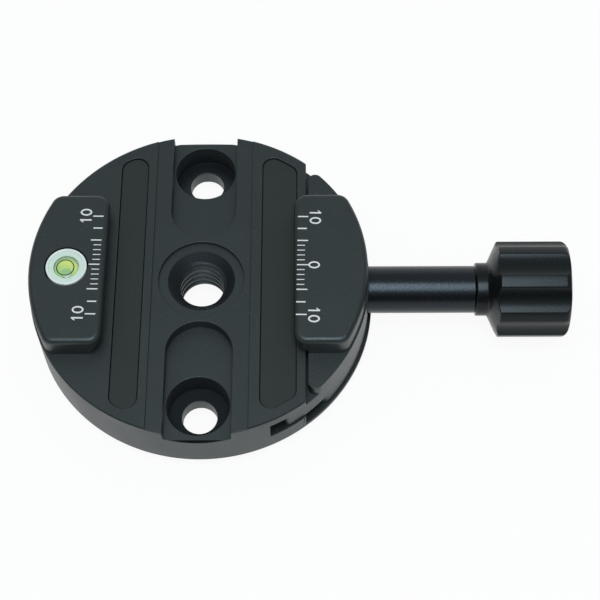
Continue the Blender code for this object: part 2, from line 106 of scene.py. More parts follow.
# Jaw blocks
block_top = 15.2 * MM
block_root = 0.6 * MM
block_half_length = 15.2 * MM
block_inset = 0.3 * MM
block_corner = 2.3 * MM
block_fillet = 1.0 * MM
mouth_half_width = 16.85 * MM
shoulder_height = 13.85 * MM
fixed_root_x = 19.0 * MM
moving_root_x = 19.35 * MM

# Moving jaw: its arcs' centre, and for each layer the edge's place, its corners and its heights
jaw_centre_x = -0.6 * MM
jaw_face_x = 30.4 * MM
shelf = (19.35 * MM, 1.3 * MM, 8.2 * MM, 10.7 * MM)
tongue = (14.9 * MM, 0.9 * MM, 4.4 * MM, 8.2 * MM)
foot = (20.5 * MM, 1.5 * MM, 1.4 * MM, 4.4 * MM)
pin_hole_end_x = 24.6 * MM
counterbore_x = 28.9 * MM
counterbore_fit = 0.25 * MM

# Screw spindle
spindle_height = 6.05 * MM
thread_radius = 2.5 * MM
thread_bore_radius = 2.8 * MM
thread_root_radius = 2.05 * MM
spindle_pitch = 0.8 * MM
tip_x = 7.0 * MM
tip_chamfer = 0.5 * MM
bore_end_x = 6.2 * MM
thread_end_x = 28.6 * MM
shoulder_x = 29.8 * MM
stem_end_x = 49.65 * MM
stem_radius = 4.3 * MM
stem_chamfer = 0.1 * MM
tail_end_x = 61.55 * MM

# Knob
neck_x = 49.8 * MM
neck_radius = 4.85 * MM
neck_chamfer = 0.15 * MM
cone_x = 51.9 * MM
flare_blend = 0.45 * MM
head_x = 53.8 * MM
head_radius = 8.74 * MM
head_fillet = 1.1 * MM
knob_end_x = 66.5 * MM
knob_bore_end_x = 61.85 * MM
flute_count = 8
flute_radius = 5.7 * MM
flute_distance = 13.606 * MM
first_flute = math.radians(41.5)
grub_x = 59.3 * MM
grub_radius = 1.5 * MM
grub_hole_radius = 1.75 * MM
grub_high = 3.25 * MM
grub_low = -0.35 * MM
grub_chamfer = 0.2 * MM
grub_point = 0.75 * MM
socket_radius = 0.85 * MM
socket_depth = 1.8 * MM

# Round level: its centre, its top, how far below the top things lie, and how far below the lens
# the ring's two faces do, in millimetres
level_x = -23.85 * MM
level_y = 0.0
level_top = block_top + 0.05 * MM
level_height = 3.15 * MM
level_radius = 3.68 * MM
level_seat_radius = 3.95 * MM
level_seat_depth = 3.4 * MM
level_rim = 0.48 * MM
vial_radius = 2.26 * MM
vial_depth = 2.35 * MM
liquid_radius = 2.2 * MM
liquid_drop = 0.47 * MM
lens_drop = 0.45 * MM
ring_centre_x = level_x - 0.2 * MM
ring_radius = 1.54 * MM
ring_stroke = 0.19 * MM
ring_depths = (0.018, 0.004)
bubble_radius = 1.0 * MM
bubble_place = (0.1 * MM, -1.2 * MM)
bubble_flatness = 0.3
bubble_rise = 0.004 * MM

# Scale on the jaws: the marks' distance along the mouth, length and width, in millimetres. It was
# cut a little askew: how far it is turned, and how far it is off on either jaw.
scale_start_x = 17.4 * MM
scale_turn = math.radians(-0.85)
fixed_scale_shift = (-0.5 * MM, 0.17 * MM)
moving_scale_shift = (0.0, 0.46 * MM)
mark_depth = 0.07 * MM
paint_drop = 0.015 * MM
marks = [
    (0, 1.92, 0.24), (1, 1.38, 0.18), (2, 1.38, 0.18), (3, 1.38, 0.18), (4, 1.38, 0.18),
    (5, 1.92, 0.25), (7.5, 1.66, 0.27), (10, 1.88, 0.26),
]
digit_height = 2.1 * MM
digit_stroke = 0.31 * MM
digit_offset = 0.81 * MM
numeral_x = scale_start_x + 2.12 * MM
zero_width = 1.46 * MM
link_width = 0.2 * MM
link_reach = 0.5 * MM

# The numeral one's flag: how far it stands out, its height, its slope, and how far below the
# numeral's top its two sloping sides meet the stem
flag_reach = 1.2 * digit_stroke
flag_height = 2.1 * digit_stroke
flag_slope = 0.75
flag_drops = (0.2 * digit_stroke, 1.25 * digit_stroke)

edge_break = 0.13 * MM
soft_edge_break = 0.12 * MM

# Where a cutter turned a hole: its place along Y, two radii, its top, and how much rougher it is
zone_edge = 0.1 * MM
zone_top = pocket_floor - 0.12 * MM
zone_rim = screw_head_radius + 0.05 * MM
# Inside these zones the body is also painted darker, partly for the turned finish and partly as painted shade
hole_zones = (
    (screw_y, screw_hole_radius + zone_edge, screw_head_radius - zone_edge, zone_top, -0.1),
    (screw_y, screw_head_radius - zone_edge, zone_rim, zone_top, 0.3),
    (-screw_y, screw_hole_radius + zone_edge, zone_rim, zone_top, 0.5),
    (0.0, 0.0, sink_radius + 0.02 * MM, spot_face_level - 0.02 * MM, 0.06),
)
ring_spacing = 0.72 * MM
fine_spacing = 0.23 * ring_spacing
lip_skin = 0.01 * MM

# How many sides round forms have
coil_steps = 40
thread_steps = 48
round_steps = 64
corner_steps = 96
seat_steps = 128
hole_steps = 192
knob_steps = 256
rim_steps = 376
arc_steps = 384
fillet_steps = 8

overrun = 3.0 * MM
weld_distance = 0.0005 * MM
flat_angle = math.radians(0.2)
smooth_angle = math.radians(31.0)


# Modelling

def activate(piece):
    """Selects this piece alone, in object mode."""
    bpy.ops.object.select_all(action="DESELECT")
    piece.select_set(True)
    bpy.context.view_layer.objects.active = piece


def added(name):
    """Names the primitive just added, and moves its place into its mesh."""
    piece = bpy.context.object
    piece.name = name
    piece.data.name = name
    activate(piece)
    bpy.ops.object.transform_apply(location=True, rotation=True, scale=True)
    return piece


def edit_all(piece, mode="VERT"):
    """Goes into edit mode with the whole piece selected."""
    activate(piece)
    bpy.ops.object.mode_set(mode="EDIT")
    bpy.ops.mesh.select_mode(type=mode)
    bpy.ops.mesh.select_all(action="SELECT")


def leave_edit():
    bpy.ops.object.mode_set(mode="OBJECT")


def leave_outwards():
    """Turns the faces of the mesh in edit mode outwards, and leaves it."""
    bpy.ops.mesh.select_all(action="SELECT")
    bpy.ops.mesh.normals_make_consistent(inside=False)
    leave_edit()


def edit_chosen(piece, mode, chosen):
    """Goes into edit mode with only the chosen edges or faces selected, given by their indices."""
    edit_all(piece, mode)
    bpy.ops.mesh.select_all(action="DESELECT")
    leave_edit()
    parts = piece.data.edges if mode == "EDGE" else piece.data.polygons
    for index in chosen:
        parts[index].select = True
    bpy.ops.object.mode_set(mode="EDIT")


def edit_edges(piece, wanted):
    """Goes into edit mode with the edges selected that wanted(first end, second end) picks."""
    points = piece.data.vertices
    ends = {edge.index: [points[end].co for end in edge.vertices] for edge in piece.data.edges}
    edit_chosen(piece, "EDGE", [index for index, (first, second) in ends.items() if wanted(first, second)])


def box(name, low, high):
    low, high = Vector(low), Vector(high)
    bpy.ops.mesh.primitive_cube_add(size=1.0, location=(low + high) / 2, scale=high - low)
    return added(name)


def post(name, radius, low, high, x=0.0, y=0.0, steps=round_steps):
    """An upright cylinder."""
    middle = (x, y, (low + high) / 2)
    bpy.ops.mesh.primitive_cylinder_add(vertices=steps, radius=radius, depth=high - low, location=middle)
    return added(name)


def bar(name, radius, low_x, high_x, y=0.0, z=0.0, steps=round_steps):
    """A cylinder along X."""
    middle = ((low_x + high_x) / 2, y, z)
    turn = (0.0, math.pi / 2, 0.0)
    bpy.ops.mesh.primitive_cylinder_add(
        vertices=steps, radius=radius, depth=high_x - low_x, location=middle, rotation=turn
    )
    return added(name)


def turned(name, profile, steps, along="Z", x=0.0, y=0.0, z=0.0):
    """Pulls a disc along its axis from station to station; the profile has (place, radius) pairs."""
    start, radius = profile[0]
    turn = (0.0, math.pi / 2, 0.0) if along == "X" else (0.0, 0.0, 0.0)
    axis = Vector((1.0, 0.0, 0.0)) if along == "X" else Vector((0.0, 0.0, 1.0))
    foot_point = Vector((x, y, z))
    bpy.ops.mesh.primitive_circle_add(
        vertices=steps, radius=radius, fill_type="NGON", location=foot_point + axis * start, rotation=turn
    )
    piece = added(name)
    edit_all(piece, "FACE")
    place = start
    for next_place, next_radius in profile[1:]:
        shift = axis * (next_place - place)
        bpy.ops.mesh.extrude_region_move(TRANSFORM_OT_translate={"value": shift})
        share = next_radius / radius
        size = (1.0, share, share) if along == "X" else (share, share, 1.0)
        bpy.ops.transform.resize(value=size, center_override=foot_point + axis * next_place)
        place, radius = next_place, next_radius
    leave_outwards()
    return piece


def slice_off(piece, point, normal):
    """Cuts the piece along a plane and closes it, without what lies on the normal's side."""
    edit_all(piece, "FACE")
    bpy.ops.mesh.bisect(
        plane_co=point, plane_no=normal, use_fill=True, clear_outer=True, threshold=weld_distance
    )
    leave_edit()


def join(pieces, name):
    """Makes one piece of several, without merging their forms."""
    activate(pieces[0])
    for piece in pieces[1:]:
        piece.select_set(True)
    bpy.ops.object.join()
    pieces[0].name = name
    pieces[0].data.name = name
    return pieces[0]


def wrapped(name, pieces):
    """Joins pieces into the convex form that wraps them all."""
    whole = join(pieces, name)
    edit_all(whole)
    bpy.ops.mesh.convex_hull(join_triangles=False)
    bpy.ops.mesh.select_all(action="SELECT")
    bpy.ops.mesh.dissolve_limited(angle_limit=flat_angle)
    leave_outwards()
    return whole


def combine(piece, other, operation="DIFFERENCE"):
    """Cuts a piece with another, or joins the other to it, and uses the other up."""
    activate(piece)
    change = piece.modifiers.new("Cut", "BOOLEAN")
    change.operation = operation
    change.solver = "EXACT"
    change.object = other
    bpy.ops.object.modifier_apply(modifier=change.name)
    bpy.data.objects.remove(other, do_unlink=True)


def clean(piece):
    """Merges points that coincide, and faces that lie in one plane."""
    edit_all(piece)
    bpy.ops.mesh.remove_doubles(threshold=weld_distance)
    bpy.ops.mesh.dissolve_limited(angle_limit=flat_angle)
    leave_edit()


def break_edges(piece, keep=None, width=edge_break, angle=50.0):
    """Breaks the edges sharper than an angle, as a deburring wheel does, but for those that
    keep() picks by their middle."""
    mesh = piece.data
    sides = {}
    for face in mesh.polygons:
        for key in face.edge_keys:
            sides.setdefault(key, []).append(face)
    sharp = []
    for edge in mesh.edges:
        first, second = sides[edge.key]
        outer = (second.center - first.center).dot(first.normal) < 0.0
        middle = (mesh.vertices[edge.vertices[0]].co + mesh.vertices[edge.vertices[1]].co) / 2
        turn = first.normal.angle(second.normal, 0.0)
        if outer and turn > math.radians(angle) and not (keep and keep(middle)):
            sharp.append(edge.index)
    edit_chosen(piece, "EDGE", sharp)
    bpy.ops.mesh.bevel(
        offset=width, segments=3, profile=0.5, affect="EDGES", clamp_overlap=False, loop_slide=False
    )
    leave_edit()


def shade(piece):
    """Smooth shading, in which the larger faces keep their own normals."""
    activate(piece)
    bpy.ops.object.shade_smooth_by_angle(angle=smooth_angle)
    weigh = piece.modifiers.new("Weigh", "WEIGHTED_NORMAL")
    weigh.keep_sharp = True
    bpy.ops.object.modifier_apply(modifier=weigh.name)


def mirror_x(piece):
    """Turns a piece into its mirror image across the middle of the mouth."""
    activate(piece)
    piece.scale.x = -1.0
    bpy.ops.object.transform_apply(location=False, rotation=False, scale=True)
    edit_all(piece)
    leave_outwards()
    return piece


def laid_along_x(piece, x, y, z):
    """Lays a piece that stands at the origin down along X, from a point on."""
    activate(piece)
    piece.rotation_euler.y = math.pi / 2
    piece.location = (x, y, z)
    bpy.ops.object.transform_apply(location=True, rotation=True, scale=False)
    return piece


def wound(outline, pitch, turns, steps):
    """Winds a closed outline up about Z, and closes both ends of what it sweeps."""
    screw = outline.modifiers.new("Winding", "SCREW")
    screw.axis = "Z"
    screw.screw_offset = pitch
    screw.iterations = turns
    screw.steps = steps
    screw.render_steps = steps
    screw.merge_threshold = weld_distance
    bpy.ops.object.modifier_apply(modifier=screw.name)
    edit_all(outline, "EDGE")
    bpy.ops.mesh.select_all(action="DESELECT")
    bpy.ops.mesh.select_non_manifold()
    bpy.ops.mesh.fill()
    leave_outwards()
    return outline


def rounded_segment(name, edge_x, corner, radius, centre_x, low, high, corner_y=None):
    """A slab with a straight inner edge, an arc of the rim for its back, and round corners.

    corner_y is how far along Y the corners' centres stand where the ends are straight. Without it
    the corners run into the arc."""
    inner_x = edge_x + corner
    if corner_y is None:
        corner_y = math.sqrt((radius - corner) ** 2 - (inner_x - centre_x) ** 2)
        touch_angle = math.atan2(corner_y, inner_x - centre_x)
        backs = []
    else:
        back_x = centre_x + math.sqrt((radius - corner) ** 2 - corner_y**2)
        touch_angle = math.atan2(corner_y, back_x - centre_x)
        backs = [
            post("corner", corner, low, high, back_x, corner_y * side, corner_steps) for side in (1, -1)
        ]
    back = post(name, radius, low, high, centre_x, 0.0, arc_steps)
    slice_off(back, (centre_x + radius * math.cos(touch_angle), 0.0, 0.0), (-1.0, 0.0, 0.0))
    fronts = [
        post("corner", corner, low, high, inner_x, corner_y * side, corner_steps) for side in (1, -1)
    ]
    return wrapped(name, [back] + backs + fronts)


def strip_slab(name, strip, fit, low, high):
    """A long slab along the mouth whose ends follow the rim, less a fit all round."""
    edge_x, width, corner = strip
    rim = strip_rim - fit
    corner = corner - fit
    corners = []
    for x in (edge_x + fit + corner, edge_x + width - fit - corner):
        y = math.sqrt((rim - corner) ** 2 - x**2)
        corners.append((x, y, rim * x / (rim - corner)))
    end = post(name, rim, low, high, steps=arc_steps)
    slice_off(end, (corners[0][2], 0.0, 0.0), (-1.0, 0.0, 0.0))
    slice_off(end, (corners[1][2], 0.0, 0.0), (1.0, 0.0, 0.0))
    rounds = [
        post("corner", corner, low, high, x, y * side, corner_steps)
        for x, y, touch in corners for side in (1, -1)
    ]
    return wrapped(name, [end] + rounds)


def jaw_block(name, centre_x, root_x):
    """A clamping block on the +X side: round top edges, and the undercut that grips a plate."""
    low = bed_height - block_root
    corner_y = block_half_length - block_corner
    radius = disc_radius - block_inset
    block = rounded_segment(
        name, mouth_half_width, block_corner, radius, centre_x, low, block_top, corner_y
    )
    near_top = block_top - weld_distance
    edit_edges(block, lambda a, b: min(a.z, b.z) > near_top)
    bpy.ops.mesh.bevel(offset=block_fillet, segments=6, profile=0.5, affect="EDGES")
    leave_edit()
    reach = disc_radius
    corners = (mouth_half_width - overrun, -reach, low - overrun), (root_x, reach, block_top + overrun)
    undercut = box("undercut", *corners)
    slice_off(undercut, (mouth_half_width, 0.0, shoulder_height), (1.0, 0.0, 1.0))
    combine(block, undercut)
    return block


def thread_tool(name, radii, widths, pitch, low, high):
    """A screw-shaped ridge about Z that cuts a thread; radii and widths are (inner, outer)."""
    middle = (sum(radii) / 2, 0.0, low)
    bpy.ops.mesh.primitive_plane_add(size=1.0, location=middle, rotation=(math.pi / 2, 0.0, 0.0))
    tool = bpy.context.object
    tool.scale = (abs(radii[1] - radii[0]), widths[0], 1.0)
    tool = added(name)
    outer_x = max(radii) - weld_distance
    edit_edges(tool, lambda a, b: min(a.x, b.x) > outer_x)
    narrow = widths[1] / widths[0]
    bpy.ops.transform.resize(value=(1.0, 1.0, narrow), center_override=(max(radii), 0.0, low))
    bpy.ops.mesh.select_all(action="SELECT")
    bpy.ops.mesh.delete(type="ONLY_FACE")
    leave_edit()
    return wound(tool, pitch, math.ceil((high - low) / pitch), thread_steps)


# The engraved scale

def mark_box(distance, length, width):
    """One mark, this far along the mouth from its middle."""
    low = (scale_start_x, distance - width / 2, block_top - mark_depth)
    high = (scale_start_x + length, distance + width / 2, block_top + mark_depth)
    return box("mark", low, high)


def oval(name, x, y, length, width, depth):
    """An upright oval slab across the block's top; its length is along X."""
    bpy.ops.mesh.primitive_cylinder_add(
        vertices=round_steps, radius=0.5, depth=depth, location=(x, y, block_top)
    )
    bpy.context.object.scale = (length, width, 1.0)
    return added(name)


def zero(low_x, centre_y):
    """An oval ring; its top is towards +X."""
    middle_x = low_x + digit_height / 2
    ring = oval("zero", middle_x, centre_y, digit_height, zero_width, 2 * mark_depth)
    length, width = digit_height - 2 * digit_stroke, zero_width - 2 * digit_stroke
    combine(ring, oval("inside", middle_x, centre_y, length, width, 4 * mark_depth))
    return ring


def one(low_x, stem_y, flag_side):
    """A bare stem with a short flag at its top, which is towards +X."""
    top = low_x + digit_height
    half = digit_stroke / 2
    low, high = block_top - mark_depth, block_top + mark_depth
    stem = box("one", (low_x, stem_y - half, low), (top, stem_y + half, high))
    flag_y = stem_y + flag_side * (half + flag_reach)
    flag = box("flag", (top - flag_height, min(stem_y, flag_y), low), (top, max(stem_y, flag_y), high))
    for drop, way in zip(flag_drops, (1.0, -1.0)):
        meeting = (top - drop, stem_y + flag_side * half, block_top)
        slice_off(flag, meeting, (flag_slope * way, flag_side * way, 0.0))
    combine(stem, flag, "UNION")
    return stem


def scale_marks():
    """The marks, and the numerals at both ends; the numerals' tops are towards +X."""
    pieces = []
    for distance, length, width in marks:
        for side in (1, -1) if distance else (1,):
            pieces.append(mark_box(distance * side * MM, length * MM, width * MM))
    for side in (1, -1):
        middle_y = 10 * side * MM
        pieces.append(zero(numeral_x, middle_y - digit_offset))
        pieces.append(one(numeral_x, middle_y + digit_offset, 1))
    return pieces


def moving_scale():
    """The moving jaw's scale, whose middle mark runs into a zero."""
    pieces = scale_marks()
    low = (numeral_x - link_reach, -link_width / 2, block_top - mark_depth)
    high = (numeral_x + digit_stroke / 2, link_width / 2, block_top + mark_depth)
    combine(pieces[0], box("link", low, high), "UNION")
    combine(pieces[0], zero(numeral_x - digit_stroke / 3, 0.0), "UNION")
    return placed_scale(join(pieces, "scale_moving"), 0.0, moving_scale_shift)


def fixed_scale():
    """The same scale turned half round for the fixed jaw, where the middle mark has no numeral."""
    return placed_scale(join(scale_marks(), "scale_fixed"), math.pi, fixed_scale_shift)


def placed_scale(scale, turn, shift):
    """Turns a scale to its side of the mouth and sets it as askew as the cutter did."""
    activate(scale)
    scale.rotation_euler.z = turn + scale_turn
    scale.location = (*shift, 0.0)
    bpy.ops.object.transform_apply(location=True, rotation=True, scale=False)
    return scale


def engrave(jaw, scale):
    """Cuts the scale into the jaw's top and leaves the marks as paint a little below it."""
    tool = scale.copy()
    tool.data = scale.data.copy()
    bpy.context.collection.objects.link(tool)
    combine(jaw, tool)
    slice_off(scale, (0.0, 0.0, block_top - paint_drop), (0.0, 0.0, 1.0))


# The machined body and the moving jaw

def make_body(scale):
    """The disc with its fixed block: turned, milled, bored, tapped and engraved."""
    blank = [
        (0.0, disc_radius - rim_chamfer),
        (rim_chamfer, disc_radius),
        (bed_height - rim_chamfer, disc_radius),
        (bed_height, disc_radius - rim_chamfer),
    ]
    body = turned("machined_body", blank, rim_steps)
    combine(body, mirror_x(jaw_block("fixed_block", 0.0, fixed_root_x)), "UNION")
    reach = disc_radius + overrun
    top = block_top + overrun
    combine(body, box("band", (-band_half_width, -reach, band_level), (band_half_width, reach, top)))
    for side in (1, -1):
        cut_pocket(body, side)
    cut_centre_hole(body)
    combine(body, strip_slab("right_recess", right_strip, 0.0, recess_floor, top))
    combine(body, mirror_x(strip_slab("left_recess", left_strip, 0.0, recess_floor, top)))
    combine(body, box("jaw_room", (joint_x, -reach, floor_thickness), (reach, reach, top)))
    combine(body, box("slot", (slot_end_x, -reach, slot_floor), (joint_x + overrun, reach, slot_roof)))
    seat_floor = level_top - level_seat_depth
    combine(body, post("level_seat", level_seat_radius, seat_floor, top, level_x, level_y, seat_steps))
    combine(body, bar("screw_bore", thread_bore_radius, bore_end_x, slot_end_x + overrun, z=spindle_height))
    for side in (1, -1):
        cut_lip(body, side)
        places = {"y": pin_y * side, "z": pin_height}
        combine(body, bar("spring_bore", spring_bore_radius, spring_seat_x, slot_end_x + overrun, **places))
        combine(body, bar("pin_bore", pin_socket_radius, pin_start_x, slot_end_x, **places))
    tap_radii = (tripod_minor_radius - cutter_start, tripod_major_radius)
    combine(body, thread_tool("tap", tap_radii, tap_widths, tripod_pitch, -2 * tripod_pitch, bed_height))
    engrave(body, scale)
    clean(body)
    break_edges(body, kept_sharp)
    return body


def kept_sharp(point):
    """The places whose edges stay sharp: the scale, the thread, the lips and what the slot hides."""
    if point.z > block_top - 2 * mark_depth:
        return True
    if math.hypot(point.x, point.y) < tripod_major_radius + hole_chamfer + edge_break:
        return True
    if abs(point.y) > disc_radius - 2 * lip_width and point.z > pocket_floor - lip_depth - edge_break:
        return point.z < pocket_floor + edge_break and abs(point.x) < pocket_half_width + edge_break
    hidden_low, hidden_high = slot_floor - 1.0 * MM, bed_height - 1.5 * MM
    return bore_end_x - edge_break < point.x < joint_x - edge_break and hidden_low < point.z < hidden_high


def cut_pocket(body, side):
    """A pocket with a round inner end, open at the rim, and the counterbored hole in its floor."""
    centre_y = (pocket_end + pocket_half_width) * side
    far_y = (disc_radius + overrun) * side
    top = bed_height + overrun
    end = post("pocket_end", pocket_half_width, pocket_floor, top, 0.0, centre_y, seat_steps)
    low = (-pocket_half_width, min(centre_y, far_y), pocket_floor)
    high = (pocket_half_width, max(centre_y, far_y), top)
    combine(end, box("pocket", low, high), "UNION")
    combine(body, end)
    seat = post("counterbore", screw_head_radius, screw_seat_height, top, 0.0, screw_y * side, seat_steps)
    combine(body, seat)
    combine(body, post("screw_hole", screw_hole_radius, -overrun, top, 0.0, screw_y * side, corner_steps))


def cut_lip(body, side):
    """The slope at the rim end of a pocket's floor."""
    far_y = (disc_radius + overrun) * side
    lip_y = (disc_radius - lip_width) * side
    low = (-pocket_half_width, min(lip_y, far_y), pocket_floor - overrun)
    high = (pocket_half_width, max(lip_y, far_y), pocket_floor + lip_width)
    lip = box("lip", low, high)
    slope = Vector((0.0, -side * lip_depth, -lip_width)).normalized()
    slice_off(lip, (0.0, lip_y, pocket_floor), slope)
    combine(body, lip)


def cut_centre_hole(body):
    """The spot face, the countersink and the tapping hole on the disc's axis."""
    sink_end = spot_face_level - (sink_radius - tripod_minor_radius)
    mouth = tripod_major_radius + hole_chamfer
    profile = [
        (-overrun, mouth + overrun),
        (mouth - tripod_minor_radius, tripod_minor_radius),
        (sink_end, tripod_minor_radius),
        (spot_face_level, sink_radius),
        (spot_face_level, spot_face_radius),
        (bed_height + overrun, spot_face_radius),
    ]
    combine(body, turned("centre_hole", profile, hole_steps))


def make_jaw(scale):
    """The moving jaw: its steps and its block in one piece, bored for the screw and the guide pins."""
    layers = []
    for name, (edge_x, corner, low, high) in (("shelf", shelf), ("tongue", tongue), ("foot", foot)):
        layers.append(rounded_segment(name, edge_x, corner, disc_radius, jaw_centre_x, low, high))
    jaw = layers[0]
    combine(jaw, layers[1], "UNION")
    combine(jaw, layers[2], "UNION")
    combine(jaw, jaw_block("moving_block", jaw_centre_x, moving_root_x), "UNION")
    combine(jaw, bar(
        "spindle_seat", stem_radius + counterbore_fit, counterbore_x, jaw_face_x + overrun,
        z=spindle_height, steps=seat_steps,
    ))
    combine(jaw, bar("spindle_hole", thread_bore_radius, 0.0, disc_radius, z=spindle_height))
    for side in (1, -1):
        hole = bar("pin_hole", pin_socket_radius, 0.0, pin_hole_end_x, y=pin_y * side, z=pin_height)
        combine(jaw, hole)
    engrave(jaw, scale)
    clean(jaw)
    break_edges(jaw, jaw_kept_sharp)
    jaw.name = "machined_jaw"
    return jaw


def jaw_kept_sharp(point):
    """The scale, the steps that taper out at the rim, and the bores in the tongue's hidden end."""
    if point.z > block_top - 2 * mark_depth:
        return True
    if min(abs(point.z - tongue[2]), abs(point.z - tongue[3])) < edge_break:
        return True
    if point.x > counterbore_x - edge_break:
        return False
    if math.hypot(point.y, point.z - spindle_height) < thread_bore_radius + edge_break:
        return True
    return math.hypot(abs(point.y) - pin_y, point.z - pin_height) < pin_socket_radius + edge_break


# The strips

def make_strip(name, strip):
    piece = strip_slab(name, strip, strip_fit, strip_low, strip_high)
    break_edges(piece, width=soft_edge_break)
    return piece


# The round level

def level_piece(name, profile, steps=corner_steps, x=level_x):
    """Turns a piece of the level; the profile has (depth below its top, radius) pairs, in millimetres."""
    stations = [(level_top - depth * MM, radius * MM) for depth, radius in profile]
    return turned(name, stations, steps, x=x, y=level_y)


def make_cup():
    """The moulded cup: a round rim, a groove inside it, a dish and the well for the liquid."""
    rim = (level_radius - level_rim) / MM
    well = vial_radius / MM
    outer = level_radius / MM
    return level_piece("level_housing", [
        (level_height / MM, outer - 0.1),
        (level_height / MM - 0.1, outer),
        (0.16, outer),
        (0.07, outer - 0.03),
        (0.02, outer - 0.09),
        (0.0, outer - 0.18),
        (0.0, rim + 0.16),
        (0.03, rim + 0.07),
        (0.1, rim),
        (0.19, rim - 0.04),
        (0.21, rim - 0.12),
        (0.19, rim - 0.3),
        (0.17, well + 0.22),
        (0.18, well + 0.08),
        (0.24, well),
        (vial_depth / MM, well),
    ], seat_steps)


def make_liquid():
    inner = liquid_radius / MM
    surface = liquid_drop / MM
    return level_piece("level_filling", [
        (vial_depth / MM - 0.03, inner), (surface + 0.04, inner), (surface, inner - 0.04),
    ])


def make_lens():
    """The clear cap, a little crowned."""
    inner = liquid_radius / MM
    return level_piece("level_glass", [
        (lens_drop / MM, inner), (0.25, inner), (0.19, inner - 0.08), (0.14, inner * 0.75),
        (0.11, inner * 0.45), (0.1, inner * 0.12),
    ])


def make_ring():
    """The target ring, a film of ink under the lens: its round ends are opened and bridged."""
    low, high = (lens_drop / MM + depth for depth in ring_depths)
    outer, inner = (ring_radius + ring_stroke / 2) / MM, (ring_radius - ring_stroke / 2) / MM
    section = [(low, inner), (low, outer), (high, outer), (high, inner)]
    ring = level_piece("level_ring", section, x=ring_centre_x)
    edit_chosen(ring, "FACE", [face.index for face in ring.data.polygons if len(face.vertices) > 4])
    bpy.ops.mesh.delete(type="ONLY_FACE")
    bpy.ops.mesh.select_mode(type="EDGE")
    bpy.ops.mesh.select_non_manifold()
    bpy.ops.mesh.bridge_edge_loops()
    leave_outwards()
    return ring


def make_bubble():
    """A flat bubble that lies against the lens."""
    surface = level_top - liquid_drop
    middle = (level_x + bubble_place[0], level_y + bubble_place[1], surface)
    bpy.ops.mesh.primitive_uv_sphere_add(segments=48, ring_count=24, radius=bubble_radius, location=middle)
    bpy.context.object.scale.z = bubble_flatness
    bubble = added("level_bubble")
    slice_off(bubble, (0.0, 0.0, surface + bubble_rise), (0.0, 0.0, 1.0))
    return bubble


# The screw spindle and the knob

def make_spindle():
    """The clamp screw: its threaded rod, its thick stem and the tail inside the knob."""
    rod = turned("threaded_spindle", [
        (tip_x, thread_radius - tip_chamfer),
        (tip_x + tip_chamfer, thread_radius),
        (shoulder_x, thread_radius),
        (shoulder_x, stem_radius - stem_chamfer),
        (shoulder_x + stem_chamfer, stem_radius),
        (stem_end_x - stem_chamfer, stem_radius),
        (stem_end_x, stem_radius - stem_chamfer),
        (stem_end_x, thread_radius),
        (tail_end_x - stem_chamfer, thread_radius),
        (tail_end_x, thread_radius - stem_chamfer),
    ], corner_steps, along="X", z=spindle_height)
    die_radii = (thread_root_radius, thread_radius + cutter_start)
    tool = thread_tool("die", die_radii, die_widths, spindle_pitch, tip_x - spindle_pitch, thread_end_x)
    combine(rod, laid_along_x(tool, 0.0, 0.0, spindle_height))
    return rod


def make_knob():
    """The neck, the flare and the head, turned in one and then fluted."""
    fillet_x = knob_end_x - head_fillet
    fillet = []
    for step in range(fillet_steps + 1):
        angle = math.radians(90.0) * step / fillet_steps
        fillet.append((
            fillet_x + head_fillet * math.sin(angle),
            head_radius - head_fillet + head_fillet * math.cos(angle),
        ))
    knob = turned("fluted_knob", [
        (neck_x, neck_radius - neck_chamfer),
        (neck_x + neck_chamfer, neck_radius),
        (cone_x - 0.1 * MM, neck_radius),
        (cone_x + 0.12 * MM, neck_radius + 0.15 * MM),
        (cone_x + flare_blend / 2 + 0.1 * MM, neck_radius + flare_blend + 0.1 * MM),
        (head_x - 0.1 * MM, head_radius - 0.18 * MM),
        (head_x, head_radius - 0.04 * MM),
        (head_x + 0.12 * MM, head_radius),
    ] + fillet, knob_steps, along="X", z=spindle_height)
    for index in range(flute_count):
        angle = first_flute + index * 2 * math.pi / flute_count
        y = flute_distance * math.cos(angle)
        z = spindle_height + flute_distance * math.sin(angle)
        flute = bar("flute", flute_radius, neck_x - overrun, knob_end_x + overrun, y, z, hole_steps)
        combine(knob, flute)
    combine(knob, bar("tail_bore", thread_bore_radius, neck_x - overrun, knob_bore_end_x, z=spindle_height))
    combine(knob, post("grub_hole", grub_hole_radius, -overrun * 2, spindle_height - thread_radius, grub_x))
    clean(knob)
    break_edges(knob, width=soft_edge_break, angle=18.0)
    return knob


def make_grub():
    """The grub screw under the tail, with its hexagon socket downwards."""
    grub = turned("grub_screw", [
        (grub_low, grub_radius - grub_chamfer),
        (grub_low + grub_chamfer, grub_radius),
        (grub_high - grub_point, grub_radius),
        (grub_high, grub_radius - grub_point),
    ], thread_steps, x=grub_x)
    low, high = grub_low - socket_depth, grub_low + socket_depth
    combine(grub, post("socket", socket_radius, low, high, grub_x, steps=6))
    return grub


def make_spring(name, side):
    """A fine coil on its guide pin, between its seat and the tongue."""
    low = spring_seat_x + coil_room + wire_radius
    high = tongue[0] - coil_room - wire_radius
    bpy.ops.mesh.primitive_circle_add(
        vertices=16, radius=wire_radius, location=(coil_radius, 0.0, 0.0), rotation=(math.pi / 2, 0.0, 0.0)
    )
    spring = wound(added(name), (high - low) / coil_turns, coil_turns, coil_steps)
    return laid_along_x(spring, low, pin_y * side, pin_height)


# Materials

